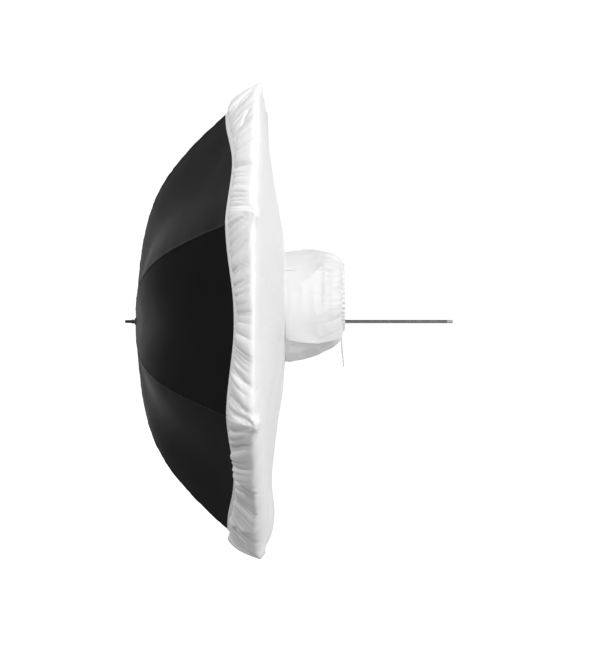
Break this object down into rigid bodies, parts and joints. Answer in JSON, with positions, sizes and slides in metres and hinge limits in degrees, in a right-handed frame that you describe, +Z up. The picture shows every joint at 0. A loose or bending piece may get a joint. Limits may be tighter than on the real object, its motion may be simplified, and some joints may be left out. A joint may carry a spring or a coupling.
{
  "type": "umbrella reflector",
  "caption": "Folding studio umbrella with a black-backed canopy on jointed ribs, a centre shaft and a stretch white diffuser cover that narrows to a tied sleeve.",
  "frame": {"origin": "on the shaft's axis where a light's umbrella holder grips it", "axes": "+X along the shaft towards its free end and the light, +Z up; the ribs stand either side of the vertical plane"},
  "size_m": [0.7083, 0.9664, 0.9664],
  "materials": {
    "bright_steel": "bright drawn steel tube",
    "black_steel": "black enamelled wire",
    "spring_steel": "plain wire and strip",
    "black_plastic": "moulded, slightly shiny",
    "grey_plastic": "moulded",
    "black_cloth": "black coated nylon, white inside",
    "white_cloth": "white stretch polyester",
    "white_elastic": "covered elastic in a hem",
    "white_string": "braided string"
  },
  "bodies": {
    "shaft_assembly": {"shaft": "bright_steel", "shaft_end_cap": "grey_plastic", "ferrule": "black_plastic", "crown_cap": "black_plastic", "notch": "black_plastic", "notch_wire": "spring_steel"},
    "catch": {"catch_spring": "spring_steel"},
    "rib_1": {"rib_inner_1": "black_steel", "canopy_gore_1": "black_cloth"},
    "rib_2": {"rib_inner_2": "black_steel", "canopy_gore_2": "black_cloth"},
    "rib_3": {"rib_inner_3": "black_steel", "canopy_gore_3": "black_cloth"},
    "rib_4": {"rib_inner_4": "black_steel", "canopy_gore_4": "black_cloth"},
    "rib_5": {"rib_inner_5": "black_steel", "canopy_gore_5": "black_cloth"},
    "rib_6": {"rib_inner_6": "black_steel", "canopy_gore_6": "black_cloth"},
    "rib_7": {"rib_inner_7": "black_steel", "canopy_gore_7": "black_cloth"},
    "rib_8": {"rib_inner_8": "black_steel", "canopy_gore_8": "black_cloth"},
    "rib_end_1": {"rib_outer_1": "black_steel", "rib_tip_1": "black_plastic"},
    "rib_end_2": {"rib_outer_2": "black_steel", "rib_tip_2": "black_plastic"},
    "rib_end_3": {"rib_outer_3": "black_steel", "rib_tip_3": "black_plastic"},
    "rib_end_4": {"rib_outer_4": "black_steel", "rib_tip_4": "black_plastic"},
    "rib_end_5": {"rib_outer_5": "black_steel", "rib_tip_5": "black_plastic"},
    "rib_end_6": {"rib_outer_6": "black_steel", "rib_tip_6": "black_plastic"},
    "rib_end_7": {"rib_outer_7": "black_steel", "rib_tip_7": "black_plastic"},
    "rib_end_8": {"rib_outer_8": "black_steel", "rib_tip_8": "black_plastic"},
    "stretcher_arm_1": {"stretcher_1": "black_steel"},
    "stretcher_arm_2": {"stretcher_2": "black_steel"},
    "stretcher_arm_3": {"stretcher_3": "black_steel"},
    "stretcher_arm_4": {"stretcher_4": "black_steel"},
    "stretcher_arm_5": {"stretcher_5": "black_steel"},
    "stretcher_arm_6": {"stretcher_6": "black_steel"},
    "stretcher_arm_7": {"stretcher_7": "black_steel"},
    "stretcher_arm_8": {"stretcher_8": "black_steel"},
    "runner_hub": {"runner": "black_plastic", "runner_wire": "spring_steel"},
    "diffuser": {"diffuser_front": "white_cloth", "diffuser_skirt": "white_cloth", "diffuser_elastic": "white_elastic", "diffuser_sleeve": "white_cloth", "sleeve_hem": "white_cloth", "drawstring_loop": "white_string", "drawstring_tail_front": "white_string", "drawstring_tail_back": "white_string", "drawstring_knot_front": "white_string", "drawstring_knot_back": "white_string"}
  },
  "joints": [
    {"name": "fold", "type": "hinge", "parent": "shaft_assembly", "child": "rib_1", "pos_m": [-0.58, -0.00459, 0.01109], "axis": [0, 0.9239, 0.3827], "range_deg": [0, 77], "deforming": ["canopy_gore_1"]},
    {"name": "rib_fold_2", "type": "hinge", "parent": "shaft_assembly", "child": "rib_2", "pos_m": [-0.58, -0.01109, 0.00459], "axis": [0, 0.3827, 0.9239], "range_deg": [0, 77], "deforming": ["canopy_gore_2"]},
    {"name": "rib_fold_3", "type": "hinge", "parent": "shaft_assembly", "child": "rib_3", "pos_m": [-0.58, -0.01109, -0.00459], "axis": [0, -0.3827, 0.9239], "range_deg": [0, 77], "deforming": ["canopy_gore_3"]},
    {"name": "rib_fold_4", "type": "hinge", "parent": "shaft_assembly", "child": "rib_4", "pos_m": [-0.58, -0.00459, -0.01109], "axis": [0, -0.9239, 0.3827], "range_deg": [0, 77], "deforming": ["canopy_gore_4"]},
    {"name": "rib_fold_5", "type": "hinge", "parent": "shaft_assembly", "child": "rib_5", "pos_m": [-0.58, 0.00459, -0.01109], "axis": [0, -0.9239, -0.3827], "range_deg": [0, 77], "deforming": ["canopy_gore_5"]},
    {"name": "rib_fold_6", "type": "hinge", "parent": "shaft_assembly", "child": "rib_6", "pos_m": [-0.58, 0.01109, -0.00459], "axis": [0, -0.3827, -0.9239], "range_deg": [0, 77], "deforming": ["canopy_gore_6"]},
    {"name": "rib_fold_7", "type": "hinge", "parent": "shaft_assembly", "child": "rib_7", "pos_m": [-0.58, 0.01109, 0.00459], "axis": [0, 0.3827, -0.9239], "range_deg": [0, 77], "deforming": ["canopy_gore_7"]},
    {"name": "rib_fold_8", "type": "hinge", "parent": "shaft_assembly", "child": "rib_8", "pos_m": [-0.58, 0.00459, 0.01109], "axis": [0, 0.9239, -0.3827], "range_deg": [0, 77], "deforming": ["canopy_gore_8"]},
    {"name": "stretcher_turn_1", "type": "hinge", "parent": "rib_1", "child": "stretcher_arm_1", "pos_m": [-0.54418, -0.0898, 0.21681], "axis": [0, 0.9239, 0.3827], "range_deg": [-154, 0]},
    {"name": "stretcher_turn_2", "type": "hinge", "parent": "rib_2", "child": "stretcher_arm_2", "pos_m": [-0.54418, -0.21681, 0.0898], "axis": [0, 0.3827, 0.9239], "range_deg": [-154, 0]},
    {"name": "stretcher_turn_3", "type": "hinge", "parent": "rib_3", "child": "stretcher_arm_3", "pos_m": [-0.54418, -0.21681, -0.0898], "axis": [0, -0.3827, 0.9239], "range_deg": [-154, 0]},
    {"name": "stretcher_turn_4", "type": "hinge", "parent": "rib_4", "child": "stretcher_arm_4", "pos_m": [-0.54418, -0.0898, -0.21681], "axis": [0, -0.9239, 0.3827], "range_deg": [-154, 0]},
    {"name": "stretcher_turn_5", "type": "hinge", "parent": "rib_5", "child": "stretcher_arm_5", "pos_m": [-0.54418, 0.0898, -0.21681], "axis": [0, -0.9239, -0.3827], "range_deg": [-154, 0]},
    {"name": "stretcher_turn_6", "type": "hinge", "parent": "rib_6", "child": "stretcher_arm_6", "pos_m": [-0.54418, 0.21681, -0.0898], "axis": [0, -0.3827, -0.9239], "range_deg": [-154, 0]},
    {"name": "stretcher_turn_7", "type": "hinge", "parent": "rib_7", "child": "stretcher_arm_7", "pos_m": [-0.54418, 0.21681, 0.0898], "axis": [0, 0.3827, -0.9239], "range_deg": [-154, 0]},
    {"name": "stretcher_turn_8", "type": "hinge", "parent": "rib_8", "child": "stretcher_arm_8", "pos_m": [-0.54418, 0.0898, 0.21681], "axis": [0, 0.9239, -0.3827], "range_deg": [-154, 0]},
    {"name": "rib_flex_1", "type": "hinge", "parent": "rib_1", "child": "rib_end_1", "pos_m": [-0.54733, -0.09169, 0.22137], "axis": [0, 0.9239, 0.3827], "range_deg": [-30, 0]},
    {"name": "rib_flex_2", "type": "hinge", "parent": "rib_2", "child": "rib_end_2", "pos_m": [-0.54733, -0.22137, 0.09169], "axis": [0, 0.3827, 0.9239], "range_deg": [-30, 0]},
    {"name": "rib_flex_3", "type": "hinge", "parent": "rib_3", "child": "rib_end_3", "pos_m": [-0.54733, -0.22137, -0.09169], "axis": [0, -0.3827, 0.9239], "range_deg": [-30, 0]},
    {"name": "rib_flex_4", "type": "hinge", "parent": "rib_4", "child": "rib_end_4", "pos_m": [-0.54733, -0.09169, -0.22137], "axis": [0, -0.9239, 0.3827], "range_deg": [-30, 0]},
    {"name": "rib_flex_5", "type": "hinge", "parent": "rib_5", "child": "rib_end_5", "pos_m": [-0.54733, 0.09169, -0.22137], "axis": [0, -0.9239, -0.3827], "range_deg": [-30, 0]},
    {"name": "rib_flex_6", "type": "hinge", "parent": "rib_6", "child": "rib_end_6", "pos_m": [-0.54733, 0.22137, -0.09169], "axis": [0, -0.3827, -0.9239], "range_deg": [-30, 0]},
    {"name": "rib_flex_7", "type": "hinge", "parent": "rib_7", "child": "rib_end_7", "pos_m": [-0.54733, 0.22137, 0.09169], "axis": [0, 0.3827, -0.9239], "range_deg": [-30, 0]},
    {"name": "rib_flex_8", "type": "hinge", "parent": "rib_8", "child": "rib_end_8", "pos_m": [-0.54733, 0.09169, 0.22137], "axis": [0, 0.9239, -0.3827], "range_deg": [-30, 0]},
    {"name": "runner_turn", "type": "hinge", "parent": "stretcher_arm_1", "child": "runner_hub", "pos_m": [-0.50836, -0.00459, 0.01109], "axis": [0, 0.9239, 0.3827], "range_deg": [0, 77]},
    {"name": "catch_press", "type": "slide", "parent": "shaft_assembly", "child": "catch", "axis": [0, 0, -1], "range_m": [0, 0.0028], "stiffness_N_per_m": 400, "springref_m": -0.002},
    {"name": "cover_off", "type": "slide", "parent": "runner_hub", "child": "diffuser", "axis": [1, 0, 0], "range_m": [0, 0.55], "deforming": ["diffuser_skirt", "diffuser_elastic"]}
  ],
  "couplings": [
    {"joint": "rib_fold_2", "follows": "fold", "ratio": 1},
    {"joint": "rib_fold_3", "follows": "fold", "ratio": 1},
    {"joint": "rib_fold_4", "follows": "fold", "ratio": 1},
    {"joint": "rib_fold_5", "follows": "fold", "ratio": 1},
    {"joint": "rib_fold_6", "follows": "fold", "ratio": 1},
    {"joint": "rib_fold_7", "follows": "fold", "ratio": 1},
    {"joint": "rib_fold_8", "follows": "fold", "ratio": 1},
    {"joint": "stretcher_turn_1", "follows": "fold", "ratio": -2},
    {"joint": "stretcher_turn_2", "follows": "fold", "ratio": -2},
    {"joint": "stretcher_turn_3", "follows": "fold", "ratio": -2},
    {"joint": "stretcher_turn_4", "follows": "fold", "ratio": -2},
    {"joint": "stretcher_turn_5", "follows": "fold", "ratio": -2},
    {"joint": "stretcher_turn_6", "follows": "fold", "ratio": -2},
    {"joint": "stretcher_turn_7", "follows": "fold", "ratio": -2},
    {"joint": "stretcher_turn_8", "follows": "fold", "ratio": -2},
    {"joint": "rib_flex_1", "follows": "fold", "ratio": -0.38961},
    {"joint": "rib_flex_2", "follows": "fold", "ratio": -0.38961},
    {"joint": "rib_flex_3", "follows": "fold", "ratio": -0.38961},
    {"joint": "rib_flex_4", "follows": "fold", "ratio": -0.38961},
    {"joint": "rib_flex_5", "follows": "fold", "ratio": -0.38961},
    {"joint": "rib_flex_6", "follows": "fold", "ratio": -0.38961},
    {"joint": "rib_flex_7", "follows": "fold", "ratio": -0.38961},
    {"joint": "rib_flex_8", "follows": "fold", "ratio": -0.38961},
    {"joint": "runner_turn", "follows": "fold", "ratio": 1}
  ]
}
